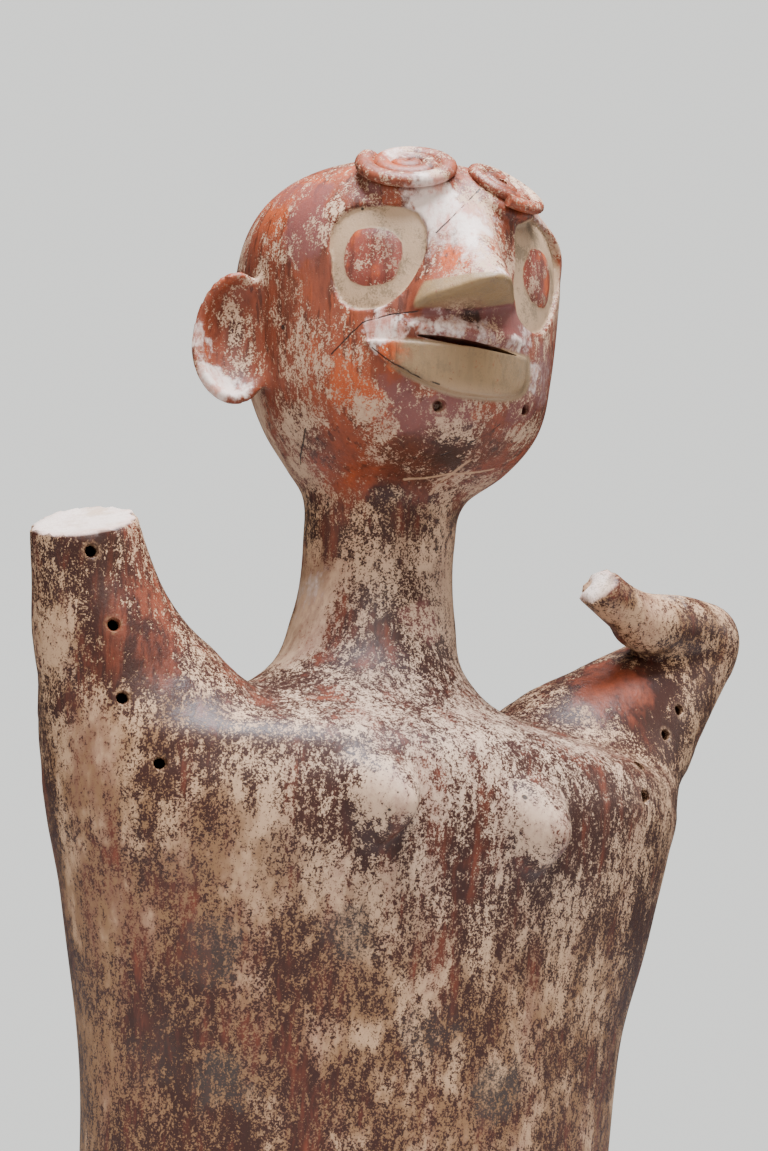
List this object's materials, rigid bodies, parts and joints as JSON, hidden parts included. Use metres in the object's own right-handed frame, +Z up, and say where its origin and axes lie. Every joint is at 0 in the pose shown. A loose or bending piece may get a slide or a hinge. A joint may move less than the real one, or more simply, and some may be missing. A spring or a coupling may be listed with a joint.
{
  "type": "anthropomorphic vessel",
  "caption": "Hollow fired-clay vessel in the form of a standing human figure with a raised broken arm, a bent arm, cupped ears and coil ornaments on the brow.",
  "frame": {"origin": "middle of the flat underside", "axes": "+Z up through the head, -Y the way the face looks, -X the figure's right side with the raised arm"},
  "size_m": [0.4209, 0.2121, 0.6165],
  "materials": {
    "painted_clay": "burnished red and maroon slip, worn to cream clay, satin"
  },
  "bodies": {
    "root": {"vessel": "painted_clay"}
  },
  "joints": []
}
